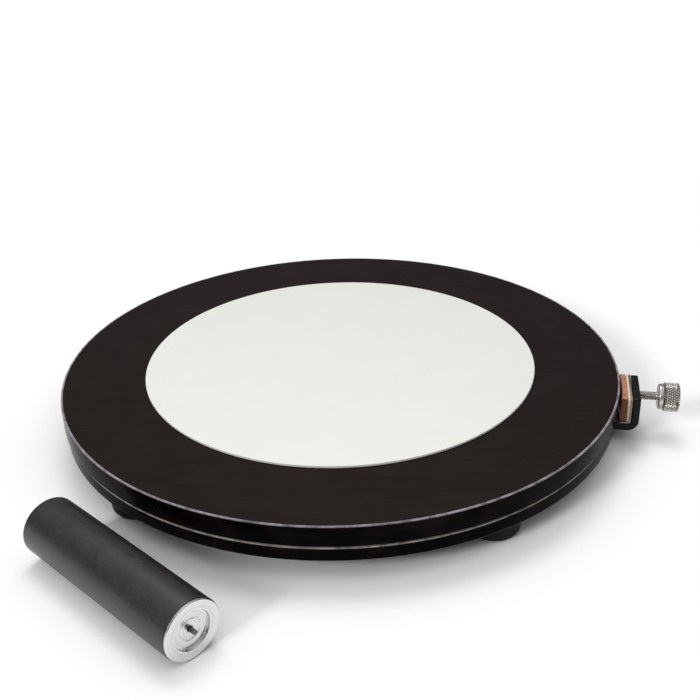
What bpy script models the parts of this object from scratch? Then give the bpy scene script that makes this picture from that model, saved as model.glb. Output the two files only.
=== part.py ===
"""Low-profile bench turntable: a black laminated wheel on a fixed round base,
running on a ring of balls, with a thumb-screw drag brake on its edge and a
loose centring post.

Frame: +Z up along the spindle, origin at the centre of the white disc's top
face, +X towards the brake.  Lengths below are millimetres and are converted
to metres by the helpers.
"""
import math
import bpy
import bmesh
from mathutils import Matrix, Vector

for old in list(bpy.data.objects):
    bpy.data.objects.remove(old, do_unlink=True)

MM = 0.001
GAP = 0.3                    # clearance left between touching pieces

# ---- driving dimensions --------------------------------------------------
SEG = 72                     # facets on the big discs
# heights, from the top of the white disc downwards
DISC_T = 1.3
TOP_Z = -1.6                 # top face of the black wheel
LAMINATE_T = 0.8
BOARD_TOP_Z = TOP_Z - LAMINATE_T - GAP          # -2.7
WHEEL_BOTTOM_Z = -12.6
BASE_TOP_Z = -13.8
BASE_BOTTOM_Z = -21.0
FLOOR_Z = -32.6
# radii
DISC_R = 107.4
WHEEL_R = 152.4              # 12 in diameter wheel
BASE_R = 151.4
BAND_T = 1.0
# ring bearing
BEARING_R = 60.0             # ball circle
BALL_R = 2.5
BALLS = 12
BALL_Z = -12.7
GROOVE_R = BALL_R + GAP
RACE_RI, RACE_RO = 52.0, 68.5
POCKET_RI, POCKET_RO = 50.0, 70.5
WHEEL_POCKET_Z = -8.2
BASE_POCKET_Z = -17.2
RACE_T = 3.2
RACE_SCREW_R = 65.4          # pitch circle of the race screws
# centre pivot
PIVOT_R = 5.0
PIVOT_HEAD_R = 8.0
BUSH_R = 8.0
BUSH_FLANGE_R = 12.0
# feet: four, at the corners of a rectangle turned slightly from the brake axis
FOOT_PCR = 135.0
FOOT_ANGLE = 49.7
FOOT_TURN = 2.5
FOOT_R_TOP, FOOT_R_BOTTOM = 14.6, 12.2
# brake
BRAKE_W = 28.0               # width along the rim
BRACKET_T = 4.0
BRACKET_X = 159.2            # inner face of the upright
BRACKET_TOP_Z = -6.2
LEG_X = 127.0                # inner end of the leg under the base
SCREW_Z = -11.0              # axis of the thumb screw
SCREW_R = 2.4
PAD_TRAVEL = 1.2             # the pad's travel from parked to touching
KNOB_R = 7.85
KNOB_L = 11.1
# centring post, lying on the bench in front of the wheel
POST_R = 14.2
POST_L = 105.0
POST_NEAR = (-22.8, -203.6)  # centre of its machined end
POST_TURN = 146.3            # direction from the machined end to the far end


# ---- materials -----------------------------------------------------------
def material(name, rgb, rough, metal=0.0):
    m = bpy.data.materials.get(name) or bpy.data.materials.new(name)
    m.use_nodes = True
    b = m.node_tree.nodes["Principled BSDF"]
    b.inputs["Base Color"].default_value = (*rgb, 1.0)
    b.inputs["Roughness"].default_value = rough
    b.inputs["Metallic"].default_value = metal
    m.diffuse_color = (*rgb, 1.0)
    return m


LAMINATE = material("black_laminate", (0.022, 0.016, 0.015), 0.55)
BAND = material("black_band", (0.006, 0.005, 0.005), 0.22)
CORE = material("fibreboard", (0.30, 0.19, 0.11), 0.85)
WHITE = material("white_disc", (0.83, 0.83, 0.79), 0.38)
STEEL = material("bearing_steel", (0.55, 0.56, 0.58), 0.28, 1.0)
CAGE = material("cage_plastic", (0.75, 0.72, 0.62), 0.5)
ZINC = material("zinc_screw", (0.60, 0.60, 0.58), 0.35, 1.0)
BRONZE = material("bush_bronze", (0.60, 0.40, 0.20), 0.4, 1.0)
RUBBER = material("foot_rubber", (0.012, 0.012, 0.012), 0.75)
PAINT = material("bracket_paint", (0.006, 0.006, 0.007), 0.25)
NICKEL = material("nickel", (0.70, 0.66, 0.62), 0.3, 1.0)
SHOE = material("shoe_steel", (0.45, 0.45, 0.43), 0.4, 1.0)
FELT = material("cream_backing", (0.78, 0.66, 0.44), 0.8)
LEATHER = material("brake_leather", (0.42, 0.16, 0.07), 0.7)
OXIDE = material("black_oxide", (0.045, 0.045, 0.045), 0.4, 0.6)
ALU = material("turned_aluminium", (0.86, 0.85, 0.84), 0.25, 1.0)
PIN = material("dark_steel", (0.20, 0.19, 0.17), 0.35, 1.0)


# ---- helpers -------------------------------------------------------------
def finish(name, bm, mat, loc=(0, 0, 0), rot=(0, 0, 0), parent=None, angle=35):
    bmesh.ops.remove_doubles(bm, verts=bm.verts, dist=1e-6)
    bmesh.ops.recalc_face_normals(bm, faces=bm.faces)
    me = bpy.data.meshes.new(name)
    bm.to_mesh(me)
    bm.free()
    ob = bpy.data.objects.new(name, me)
    bpy.context.scene.collection.objects.link(ob)
    if mat is not None:
        me.materials.append(mat)
    me.shade_smooth()
    me.set_sharp_from_angle(angle=math.radians(angle))
    ob.parent = parent
    ob.location = [c * MM for c in loc]
    ob.rotation_euler = rot
    return ob


def turn(bm, profile, segs, at=(0, 0)):
    """Spin a closed (r, z) outline about +Z; r = 0 closes on the axis."""
    vs = [bm.verts.new((r * MM, 0, z * MM)) for r, z in profile]
    es = [bm.edges.new((vs[i], vs[(i + 1) % len(vs)])) for i in range(len(vs))
          if not (profile[i][0] == 0 and profile[(i + 1) % len(vs)][0] == 0)]
    before = set(bm.faces)
    bmesh.ops.spin(bm, geom=vs + es, cent=(0, 0, 0), axis=(0, 0, 1),
                   angle=2 * math.pi, steps=segs, use_merge=True)
    bmesh.ops.remove_doubles(bm, verts=bm.verts, dist=1e-6)
    new = [f for f in bm.faces if f not in before]
    if at != (0, 0):
        moved = {v for f in new for v in f.verts}
        bmesh.ops.translate(bm, verts=list(moved), vec=(at[0] * MM, at[1] * MM, 0))


def turned(name, profile, mat, segs=SEG, at=((0, 0),), **kw):
    """One or more equal turned solids as one object."""
    bm = bmesh.new()
    for xy in at:
        part = bmesh.new()
        turn(part, profile, segs, xy)
        tmp = bpy.data.meshes.new("tmp")
        part.to_mesh(tmp)
        part.free()
        bm.from_mesh(tmp)
        bpy.data.meshes.remove(tmp)
    bmesh.ops.recalc_face_normals(bm, faces=bm.faces)
    return finish(name, bm, mat, **kw)


def copies(name, profile, mat, spots, segs=12, parent=None):
    """The same turned piece at several spots, numbered from 1, sharing a mesh."""
    first = turned(name + "_1", profile, mat, segs=segs, loc=(*spots[0], 0), parent=parent)
    for i, (x, y) in enumerate(spots[1:], 2):
        ob = bpy.data.objects.new(f"{name}_{i}", first.data)
        bpy.context.scene.collection.objects.link(ob)
        ob.parent = parent
        ob.location = (x * MM, y * MM, 0)


def extruded(name, outline, y0, y1, mat, **kw):
    """Extrude an (x, z) outline along Y from y0 to y1."""
    bm = bmesh.new()
    vs = [bm.verts.new((x * MM, y0 * MM, z * MM)) for x, z in outline]
    face = bm.faces.new(vs)
    res = bmesh.ops.extrude_face_region(bm, geom=[face])
    up = [g for g in res["geom"] if isinstance(g, bmesh.types.BMVert)]
    bmesh.ops.translate(bm, verts=up, vec=(0, (y1 - y0) * MM, 0))
    return finish(name, bm, mat, **kw)


def cut(ob, cutter):
    cutter.hide_render = True
    cutter.display_type = 'WIRE'
    mod = ob.modifiers.new("cut_" + cutter.name, 'BOOLEAN')
    mod.operation = 'DIFFERENCE'
    mod.solver = 'EXACT'
    mod.object = cutter
    return mod


def arc(cx, cz, r, a0, a1, n):
    """Points on an arc, angles in degrees."""
    return [(cx + r * math.cos(math.radians(a0 + (a1 - a0) * i / n)),
             cz + r * math.sin(math.radians(a0 + (a1 - a0) * i / n)))
            for i in range(n + 1)]


def on_circle(r, count, start=0.0):
    return [(r * math.cos(math.radians(start + 360.0 * i / count)),
             r * math.sin(math.radians(start + 360.0 * i / count)))
            for i in range(count)]


def empty(name, loc, rot=(0, 0, 0)):
    e = bpy.data.objects.new(name, None)
    bpy.context.scene.collection.objects.link(e)
    e.location = [c * MM for c in loc]
    e.rotation_euler = rot
    return e


bpy.context.scene.unit_settings.system = 'METRIC'
wheel_axis = empty("wheel_axis", (0, 0, 0))
cage_axis = empty("cage_axis", (0, 0, BALL_Z))
brake_axis = empty("brake_slide_axis", (BRACKET_X - GAP, 0, SCREW_Z))
screw_axis = empty("thumb_screw_axis", (BRACKET_X, 0, SCREW_Z), (0, math.radians(90), 0))
post_axis = empty("post_axis", (POST_NEAR[0], POST_NEAR[1], FLOOR_Z + POST_R),
                  (0, math.radians(90), math.radians(POST_TURN)))

# ---- wheel ---------------------------------------------------------------
race_holes_up = on_circle(RACE_SCREW_R, 3, 0.0)
race_holes_low = on_circle(RACE_SCREW_R, 3, 60.0)

board_r = WHEEL_R - BAND_T - GAP
wheel_board = turned("wheel_board", [
    (PIVOT_R + GAP, WHEEL_BOTTOM_Z), (POCKET_RI, WHEEL_BOTTOM_Z),
    (POCKET_RI, WHEEL_POCKET_Z), (POCKET_RO, WHEEL_POCKET_Z),
    (POCKET_RO, WHEEL_BOTTOM_Z), (board_r, WHEEL_BOTTOM_Z),
    (board_r, BOARD_TOP_Z), (PIVOT_HEAD_R + 0.6, BOARD_TOP_Z),
    (PIVOT_HEAD_R + 0.6, -6.6), (PIVOT_R + GAP, -6.6)], CORE, parent=wheel_axis)
cut(wheel_board, turned("race_pilot_cutter", [
    (0, -9.2), (1.6, -9.2), (1.6, -4.6), (0, -4.6)], None, segs=12,
    at=race_holes_up, parent=wheel_axis))

turned("wheel_laminate", [(0, TOP_Z - LAMINATE_T), (board_r, TOP_Z - LAMINATE_T),
                          (board_r, TOP_Z), (0, TOP_Z)], LAMINATE, parent=wheel_axis)
ri, ro = WHEEL_R - BAND_T, WHEEL_R
turned("wheel_edge_band", [
    (ri, WHEEL_BOTTOM_Z), (ro - 0.5, WHEEL_BOTTOM_Z), (ro, WHEEL_BOTTOM_Z + 0.5),
    (ro, TOP_Z - 0.8), (ro - 0.8, TOP_Z), (ri, TOP_Z)], BAND, parent=wheel_axis)
turned("glide_disc", [(0, -DISC_T), (DISC_R, -DISC_T), (DISC_R, -0.35),
                      (DISC_R - 0.35, 0), (0, 0)], WHITE, parent=wheel_axis)

upper_z1 = WHEEL_POCKET_Z - GAP
upper_z0 = upper_z1 - RACE_T
lower_z0 = BASE_POCKET_Z + GAP
lower_z1 = lower_z0 + RACE_T
a = math.degrees(math.asin((upper_z0 - BALL_Z) / GROOVE_R))
upper_race = turned("upper_race", [(RACE_RI, upper_z0)]
                    + arc(BEARING_R, BALL_Z, GROOVE_R, 180 - a, a, 4)
                    + [(RACE_RO, upper_z0), (RACE_RO, upper_z1), (RACE_RI, upper_z1)],
                    STEEL, segs=48, parent=wheel_axis)
cut(upper_race, turned("upper_race_cutter", [
    (0, upper_z0 - 0.5), (2.9, upper_z0 - 0.5), (2.9, upper_z0), (1.8, upper_z0 + 1.2),
    (1.8, upper_z1 + 0.5), (0, upper_z1 + 0.5)], None, segs=12,
    at=race_holes_up, parent=wheel_axis))
copies("upper_race_screw", [
    (0, upper_z0 + 0.2), (2.4, upper_z0 + 0.2), (1.4, upper_z0 + 1.3),
    (1.4, -5.6), (0, -4.9)], ZINC, race_holes_up, parent=wheel_axis)

turned("pivot_bolt", [
    (0, -28.9), (PIVOT_R - 0.6, -28.9), (PIVOT_R, -28.3), (PIVOT_R, -6.3),
    (PIVOT_HEAD_R, -6.3), (PIVOT_HEAD_R, -3.5), (PIVOT_HEAD_R - 0.5, -3.0), (0, -3.0)],
    ZINC, segs=24, parent=wheel_axis)
turned("pivot_washer", [
    (PIVOT_R + GAP, -22.7), (10.5, -22.7), (10.5, -21.3), (PIVOT_R + GAP, -21.3)],
    ZINC, segs=24, parent=wheel_axis)

# hexagonal lock nut with a round collar
nut_z1, nut_z0 = -23.0, -27.6
bm = bmesh.new()
bmesh.ops.create_cone(bm, cap_ends=True, segments=6, radius1=9.24 * MM,
                      radius2=9.24 * MM, depth=(nut_z1 - nut_z0) * MM,
                      matrix=Matrix.Translation((0, 0, (nut_z1 + nut_z0) / 2 * MM)))
pivot_nut = finish("pivot_nut", bm, ZINC, parent=wheel_axis)
cut(pivot_nut, turned("nut_bore_cutter", [
    (0, nut_z0 - 1), (PIVOT_R + GAP, nut_z0 - 1), (PIVOT_R + GAP, nut_z1 + 1), (0, nut_z1 + 1)],
    None, segs=24, parent=wheel_axis))

# ---- ball ring -----------------------------------------------------------
ball_spots = on_circle(BEARING_R, BALLS, 0.0)
bm = bmesh.new()
bmesh.ops.create_icosphere(bm, subdivisions=2, radius=BALL_R * MM)
ball = finish("bearing_ball_1", bm, STEEL, loc=(*ball_spots[0], 0), parent=cage_axis, angle=80)
for i, (x, y) in enumerate(ball_spots[1:], 2):
    ob = bpy.data.objects.new(f"bearing_ball_{i}", ball.data)
    bpy.context.scene.collection.objects.link(ob)
    ob.parent = cage_axis
    ob.location = (x * MM, y * MM, 0)
cage_ri, cage_ro, cage_h = 54.0, 66.0, 0.6
ball_cage = turned("ball_cage", [(cage_ri, -cage_h), (cage_ro, -cage_h),
                                 (cage_ro, cage_h), (cage_ri, cage_h)],
                   CAGE, segs=48, parent=cage_axis)
cut(ball_cage, turned("ball_hole_cutter", [
    (0, -2), (GROOVE_R, -2), (GROOVE_R, 2), (0, 2)], None, segs=12,
    at=ball_spots, parent=cage_axis))

# ---- base ----------------------------------------------------------------
feet = {"foot_rear_right": FOOT_TURN + FOOT_ANGLE,
        "foot_rear_left": FOOT_TURN + 180 - FOOT_ANGLE,
        "foot_front_left": FOOT_TURN + 180 + FOOT_ANGLE,
        "foot_front_right": FOOT_TURN - FOOT_ANGLE}
foot_spots = {n: (FOOT_PCR * math.cos(math.radians(t)), FOOT_PCR * math.sin(math.radians(t)))
              for n, t in feet.items()}
leg_spots = [(137.0, -8.0), (137.0, 8.0)]

base_r = BASE_R - BAND_T - GAP
base_board = turned("base_board", [
    (BUSH_R + GAP, BASE_BOTTOM_Z), (base_r, BASE_BOTTOM_Z), (base_r, BASE_TOP_Z),
    (POCKET_RO, BASE_TOP_Z), (POCKET_RO, BASE_POCKET_Z), (POCKET_RI, BASE_POCKET_Z),
    (POCKET_RI, BASE_TOP_Z), (BUSH_R + GAP, BASE_TOP_Z)], LAMINATE)
cut(base_board, turned("base_pilot_cutter", [
    (0, -22), (2.3, -22), (2.3, -16.6), (0, -16.6)], None, segs=12,
    at=list(foot_spots.values()) + leg_spots))
cut(base_board, turned("base_race_cutter", [
    (0, -20.2), (1.6, -20.2), (1.6, -16.6), (0, -16.6)], None, segs=12, at=race_holes_low))
ri, ro = BASE_R - BAND_T, BASE_R
turned("base_edge_band", [
    (ri, BASE_BOTTOM_Z), (ro - 0.5, BASE_BOTTOM_Z), (ro, BASE_BOTTOM_Z + 0.5),
    (ro, BASE_TOP_Z - 0.7), (ro - 0.7, BASE_TOP_Z), (ri, BASE_TOP_Z)], BAND)

a = math.degrees(math.asin((lower_z1 - BALL_Z) / GROOVE_R))
lower_race = turned("lower_race", [(RACE_RI, lower_z0), (RACE_RO, lower_z0), (RACE_RO, lower_z1)]
                    + arc(BEARING_R, BALL_Z, GROOVE_R, a, -180 - a, 4)
                    + [(RACE_RI, lower_z1)], STEEL, segs=48)
cut(lower_race, turned("lower_race_cutter", [
    (0, lower_z0 - 0.5), (1.8, lower_z0 - 0.5), (1.8, lower_z1 - 1.2), (2.9, lower_z1),
    (2.9, lower_z1 + 0.5), (0, lower_z1 + 0.5)], None, segs=12, at=race_holes_low))
copies("lower_race_screw", [
    (0, -19.9), (1.3, -19.2), (1.3, lower_z1 - 1.3), (2.4, lower_z1 - 0.2), (0, lower_z1 - 0.2)],
    ZINC, race_holes_low)

turned("pivot_bush", [
    (PIVOT_R + GAP, BASE_BOTTOM_Z + 0.3), (BUSH_R, BASE_BOTTOM_Z + 0.3),
    (BUSH_R, BASE_TOP_Z + GAP), (BUSH_FLANGE_R, BASE_TOP_Z + GAP),
    (BUSH_FLANGE_R, -12.9), (PIVOT_R + GAP, -12.9)], BRONZE, segs=24)

foot_top = BASE_BOTTOM_Z - GAP
for n, (x, y) in foot_spots.items():
    turned(n, [
        (2.4, foot_top), (FOOT_R_TOP, foot_top), (FOOT_R_TOP, foot_top - 1.2),
        (FOOT_R_BOTTOM + 0.3, FLOOR_Z + 1.8), (FOOT_R_BOTTOM - 1.1, FLOOR_Z),
        (4.9, FLOOR_Z), (4.9, FLOOR_Z + 6.0), (2.4, FLOOR_Z + 6.0)][::-1],
        RUBBER, segs=24, loc=(x, y, 0))
copies("foot_screw", [
    (0, FLOOR_Z + 3.6), (2.8, FLOOR_Z + 3.6), (4.3, FLOOR_Z + 4.5), (4.3, FLOOR_Z + 5.7),
    (2.0, FLOOR_Z + 5.7), (2.0, -18.2), (0, -17.0)], ZINC, list(foot_spots.values()))

# ---- brake bracket -------------------------------------------------------
w = BRAKE_W / 2
bx0, bx1 = BRACKET_X, BRACKET_X + BRACKET_T
leg_z1 = BASE_BOTTOM_Z - GAP
leg_z0 = leg_z1 - BRACKET_T
brake_bracket = extruded("brake_bracket",
    [(LEG_X, leg_z0)] + arc(bx1 - 6, leg_z0 + 6, 6, -90, 0, 8)
    + [(bx1, BRACKET_TOP_Z - 0.8)] + arc(bx1 - 0.8, BRACKET_TOP_Z - 0.8, 0.8, 0, 90, 2)[1:]
    + [(bx0, BRACKET_TOP_Z)] + arc(bx0 - 1, leg_z1 + 1, 1, 0, -90, 3) + [(LEG_X, leg_z1)],
    -w, w, PAINT)
# rounded upper corners of the upright, seen along the screw
corner = 3.0
for side, nm in ((1, "bracket_corner_a"), (-1, "bracket_corner_b")):
    bm = bmesh.new()
    pts = [(side * (w + 2), BRACKET_TOP_Z + 2), (side * (w + 2), BRACKET_TOP_Z - corner)]
    pts += [(side * (w - corner + corner * math.cos(math.radians(t))),
             BRACKET_TOP_Z - corner + corner * math.sin(math.radians(t)))
            for t in range(0, 91, 15)]
    pts += [(side * (w - corner), BRACKET_TOP_Z + 2)]
    vs = [bm.verts.new(((bx0 - 2) * MM, y * MM, z * MM)) for y, z in pts]
    f = bm.faces.new(vs)
    res = bmesh.ops.extrude_face_region(bm, geom=[f])
    bmesh.ops.translate(bm, verts=[g for g in res["geom"] if isinstance(g, bmesh.types.BMVert)],
                        vec=((BRACKET_T + 4) * MM, 0, 0))
    cut(brake_bracket, finish(nm, bm, None))
# tapped hole for the thumb screw, and countersunk holes in the leg
cut(brake_bracket, turned("tapped_hole_cutter", [
    (0, -8), (SCREW_R + GAP, -8), (SCREW_R + GAP, 8), (0, 8)], None, segs=24, parent=screw_axis))
cut(brake_bracket, turned("leg_hole_cutter", [
    (0, leg_z0 - 1), (4.0, leg_z0 - 1), (4.0, leg_z0), (2.2, leg_z0 + 2.1),
    (2.2, leg_z1 + 1), (0, leg_z1 + 1)], None, segs=12, at=leg_spots))
copies("bracket_screw", [
    (0, leg_z0 + 0.2), (3.5, leg_z0 + 0.2), (1.8, leg_z0 + 2.2), (1.8, -18.0), (0, -17.0)],
    ZINC, leg_spots)

# ---- brake pad stack: slides along X -------------------------------------
px = BRACKET_X - GAP         # outer face of the shoe
o = (-px, 0, -SCREW_Z)       # the slide axis empty is at (px, 0, SCREW_Z)
shoe_z0, shoe_z1 = BASE_BOTTOM_Z, BRACKET_TOP_Z
t = 0.8
shoe = extruded("pressure_shoe",
    [(153.4, shoe_z0)] + arc(px - 1.3, shoe_z0 + 1.3, 1.3, -90, 0, 4)
    + [(px, shoe_z1), (px - t, shoe_z1)] + arc(px - t - 0.5, shoe_z0 + t + 0.5, 0.5, 0, -90, 3)
    + [(153.4, shoe_z0 + t)], -w, w, SHOE, loc=o, parent=brake_axis)
cut(shoe, turned("shoe_hole_cutter", [
    (0, -3), (1.9, -3), (1.9, 3), (0, 3)], None, segs=12, parent=screw_axis))

back_x1 = px - t - GAP
back_x0 = back_x1 - 2.0
pad_z0 = shoe_z0 + t + GAP
bm = bmesh.new()
bmesh.ops.create_cube(bm, size=1.0, matrix=Matrix.Translation(
    ((back_x0 + back_x1) / 2 * MM, 0, (pad_z0 + shoe_z1) / 2 * MM))
    @ Matrix.Diagonal(((back_x1 - back_x0) * MM, BRAKE_W * MM, (shoe_z1 - pad_z0) * MM, 1)))
backing = finish("pad_backing", bm, FELT, loc=o, parent=brake_axis)
cut(backing, turned("backing_pocket_cutter", [
    (0, -2.6), (2.7, -2.6), (2.7, 0.5), (0, 0.5)], None, segs=12, parent=screw_axis))

# leather facing, hollowed to the wheel's rim
leather_x1 = back_x0 - GAP
rp = WHEEL_R + GAP
half = math.degrees(math.asin(w / rp))
n = 12
inner = [(PAD_TRAVEL + rp * math.cos(math.radians(-half + 2 * half * i / n)),
          rp * math.sin(math.radians(-half + 2 * half * i / n))) for i in range(n + 1)]
bm = bmesh.new()
vs = [bm.verts.new((x * MM, y * MM, pad_z0 * MM)) for x, y in inner + [(leather_x1, w), (leather_x1, -w)]]
f = bm.faces.new(vs)
res = bmesh.ops.extrude_face_region(bm, geom=[f])
bmesh.ops.translate(bm, verts=[g for g in res["geom"] if isinstance(g, bmesh.types.BMVert)],
                    vec=(0, 0, (shoe_z1 - pad_z0) * MM))
finish("brake_leather", bm, LEATHER, loc=o, parent=brake_axis)

# ---- thumb screw: local +Z is the screw axis, pointing out of the bracket -
k0 = BRACKET_T + 9.7         # inner face of the head
thumb = turned("thumb_screw", [
    (0, -2.2), (2.0, -2.2), (2.3, -1.9), (2.3, -1.4), (1.6, -1.4), (1.6, 0),
    (SCREW_R, 0), (SCREW_R, k0), (6.3, k0), (6.9, k0 + 0.7), (6.9, k0 + 2.4),
    (KNOB_R, k0 + 3.3), (KNOB_R, k0 + KNOB_L - 0.9), (KNOB_R - 1.1, k0 + KNOB_L),
    (0, k0 + KNOB_L)], NICKEL, segs=32, parent=screw_axis)
bm = bmesh.new()
bmesh.ops.create_cube(bm, size=1.0, matrix=Matrix.Translation((0, 0, (k0 + KNOB_L) * MM))
                      @ Matrix.Rotation(math.radians(-89), 4, 'Z')
                      @ Matrix.Diagonal((40 * MM, 1.8 * MM, 4.4 * MM, 1)))
cut(thumb, finish("slot_cutter", bm, None, parent=screw_axis))

# ---- centring post: local +Z runs from the machined end to the far end ---
turned("post_sleeve", [
    (13.0, 0.5), (POST_R - 0.5, 0.5), (POST_R, 1.0), (POST_R, POST_L - 0.8),
    (POST_R - 0.8, POST_L), (13.0, POST_L)], OXIDE, segs=40, parent=post_axis)
turned("post_core", [
    (9.2, 0), (13.0 - GAP - 0.2, 0), (13.0 - GAP, 0.2), (13.0 - GAP, POST_L), (0, POST_L),
    (0, 5.4), (1.4, 5.4), (1.4, 1.6), (9.2, 1.6)][::-1], ALU, segs=40, parent=post_axis)
turned("centre_pin", [
    (0, -2.4), (0.5, -2.2), (1.1, -1.6), (1.1, 5.1), (0, 5.1)], PIN, segs=12, parent=post_axis)
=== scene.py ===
"""Looks for the low bench turntable: fine meshes and procedural materials
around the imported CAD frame.  Lengths below are millimetres in the row frame
(origin at the centre of the white disc's top face, +Z up, +X to the brake)
and are converted to metres by the helpers.
"""
import math
import bpy
import bmesh
from mathutils import Matrix, Vector, noise


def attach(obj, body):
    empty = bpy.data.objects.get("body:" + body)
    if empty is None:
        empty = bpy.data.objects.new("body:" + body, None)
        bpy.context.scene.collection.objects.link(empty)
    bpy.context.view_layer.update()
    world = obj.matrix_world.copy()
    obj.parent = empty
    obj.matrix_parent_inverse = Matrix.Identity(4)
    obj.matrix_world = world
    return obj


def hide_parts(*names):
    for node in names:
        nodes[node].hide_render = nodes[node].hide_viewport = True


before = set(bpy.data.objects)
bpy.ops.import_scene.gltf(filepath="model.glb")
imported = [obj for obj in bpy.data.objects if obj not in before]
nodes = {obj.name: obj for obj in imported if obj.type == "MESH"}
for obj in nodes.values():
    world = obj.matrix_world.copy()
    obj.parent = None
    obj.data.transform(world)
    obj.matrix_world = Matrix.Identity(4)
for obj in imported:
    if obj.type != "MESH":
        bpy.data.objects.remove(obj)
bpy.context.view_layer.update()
scene = bpy.context.scene
MM = 0.001
TAU = 2 * math.pi

# ---------------------------------------------------------------- node helpers


class Mat:
    """A Principled material with short calls for its nodes; lengths are mm."""

    def __init__(self, name, base, rough, metal=0.0, spec=0.5, **sockets):
        self.m = bpy.data.materials.new(name)
        self.m.use_nodes = True
        self.t = self.m.node_tree
        self.b = self.t.nodes["Principled BSDF"]
        self.set(Base_Color=(*base, 1), Roughness=rough, Metallic=metal,
                 Specular_IOR_Level=spec, **sockets)
        self.m.diffuse_color = (*base, 1)

    def set(self, **values):
        for key, v in values.items():
            self.b.inputs[key.replace("_", " ")].default_value = v

    def node(self, kind, **props):
        n = self.t.nodes.new(kind)
        for k, v in props.items():
            setattr(n, k, v)
        return n

    def put(self, socket, value):
        if isinstance(value, bpy.types.NodeSocket):
            self.t.links.new(value, socket)
        elif value is not None:
            socket.default_value = value

    def at(self, stretch=(1, 1, 1), turn=0.0, shift=(0, 0, 0)):
        """Position on the piece in mm, optionally turned about Z and stretched."""
        c = self.node("ShaderNodeTexCoord")
        a = self.node("ShaderNodeMapping")
        a.inputs["Rotation"].default_value = (0, 0, math.radians(turn))
        self.t.links.new(c.outputs["Object"], a.inputs["Vector"])
        b = self.node("ShaderNodeMapping")
        b.inputs["Scale"].default_value = [1000.0 / s for s in stretch]
        b.inputs["Location"].default_value = shift
        self.t.links.new(a.outputs["Vector"], b.inputs["Vector"])
        return b.outputs["Vector"]

    def noise(self, size, detail=4.0, rough=0.55, at=None, distortion=0.0):
        n = self.node("ShaderNodeTexNoise")
        self.t.links.new(at if at is not None else self.at(), n.inputs["Vector"])
        n.inputs["Scale"].default_value = 1.0 / size
        n.inputs["Detail"].default_value = detail
        n.inputs["Roughness"].default_value = rough
        n.inputs["Distortion"].default_value = distortion
        return n.outputs["Fac"]

    def cells(self, size, feature="F1", at=None, random=1.0):
        n = self.node("ShaderNodeTexVoronoi", feature=feature)
        self.t.links.new(at if at is not None else self.at(), n.inputs["Vector"])
        n.inputs["Scale"].default_value = 1.0 / size
        n.inputs["Randomness"].default_value = random
        return n.outputs["Distance"]

    def span(self, x, a, b, lo=0.0, hi=1.0, smooth=True):
        n = self.node("ShaderNodeMapRange")
        if smooth:
            n.interpolation_type = 'SMOOTHSTEP'
        self.put(n.inputs["Value"], x)
        for s, v in (("From Min", a), ("From Max", b), ("To Min", lo), ("To Max", hi)):
            n.inputs[s].default_value = v
        return n.outputs["Result"]

    def calc(self, op, a, b=None, c=None):
        n = self.node("ShaderNodeMath", operation=op)
        for s, v in zip(n.inputs, (a, b, c)):
            self.put(s, v)
        return n.outputs["Value"]

    def mix(self, fac, a, b, blend='MIX'):
        n = self.node("ShaderNodeMix", data_type='RGBA', blend_type=blend)
        self.put(n.inputs[0], fac)
        for s, v in ((n.inputs[6], a), (n.inputs[7], b)):
            self.put(s, (*v, 1) if isinstance(v, tuple) and len(v) == 3 else v)
        return n.outputs[2]

    def xyz(self, at=None):
        n = self.node("ShaderNodeSeparateXYZ")
        self.t.links.new(at if at is not None else self.at(), n.inputs[0])
        return n.outputs[0], n.outputs[1], n.outputs[2]

    def radius(self):
        """Distance from the piece's own Z axis, mm."""
        x, y, _ = self.xyz()
        return self.calc('SQRT', self.calc('ADD', self.calc('MULTIPLY', x, x),
                                           self.calc('MULTIPLY', y, y)))

    def bump(self, height, strength, distance=0.1):
        """Adds a bump on top of any earlier one; distance is mm."""
        n = self.node("ShaderNodeBump")
        n.inputs["Strength"].default_value = strength
        n.inputs["Distance"].default_value = distance * MM
        self.put(n.inputs["Height"], height)
        old = self.b.inputs["Normal"]
        if old.is_linked:
            self.t.links.new(old.links[0].from_socket, n.inputs["Normal"])
        self.t.links.new(n.outputs["Normal"], old)

    def color(self, socket):
        self.t.links.new(socket, self.b.inputs["Base Color"])

    def rough(self, socket):
        self.t.links.new(socket, self.b.inputs["Roughness"])


# ------------------------------------------------------------------- materials
def make_laminate():
    """Brown-black pressed laminate: nearly matte, a faint grain one way."""
    m = Mat("black_laminate", (0.015, 0.010, 0.0095), 0.6, spec=0.05)
    grain = m.noise(1.0, 5, 0.6, m.at((26, 1.1, 6), turn=-10))
    cloud = m.noise(34, 3, 0.5)
    speck = m.noise(0.35, 2, 0.6)
    mixv = m.calc('ADD', m.calc('MULTIPLY', grain, 0.55),
                  m.calc('ADD', m.calc('MULTIPLY', cloud, 0.30),
                         m.calc('MULTIPLY', speck, 0.15)))
    t = m.span(mixv, 0.32, 0.70)
    m.color(m.mix(t, (0.0125, 0.0080, 0.0075), (0.0175, 0.0120, 0.0112)))
    m.rough(m.span(mixv, 0.3, 0.7, 0.66, 0.54))
    m.bump(grain, 0.10, 0.03)
    m.bump(speck, 0.35, 0.02)
    return m.m


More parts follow.
